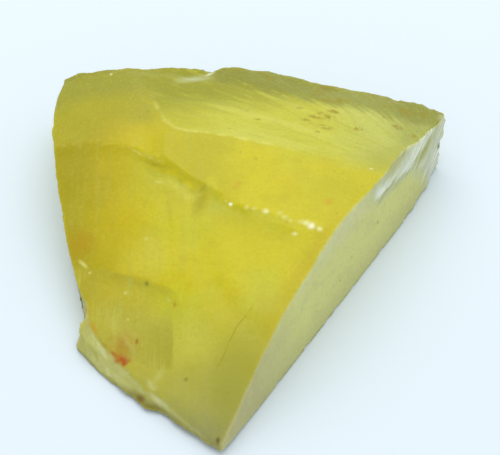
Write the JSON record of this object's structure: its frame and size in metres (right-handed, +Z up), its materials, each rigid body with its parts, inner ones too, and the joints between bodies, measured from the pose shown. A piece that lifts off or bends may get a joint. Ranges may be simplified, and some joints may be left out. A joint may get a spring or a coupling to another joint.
{
  "type": "raw citrine",
  "caption": "Raw lump of milky yellow quartz: a wedge broken on most sides, with shell-shaped scars, low ledges and one flat sawn side.",
  "frame": {"origin": "on the flat face that the stone rests on, below the middle of its width and its length", "axes": "+Z up from the resting face, +X to the right towards the sawn side, +Y from the pointed tip towards the broad back"},
  "size_m": [0.0554, 0.0584, 0.014],
  "materials": {
    "citrine": "milky translucent yellow, glossy on the broken faces, matt and paler on the sawn side and the rough back band"
  },
  "bodies": {
    "root": {"citrine": "citrine"}
  },
  "joints": []
}
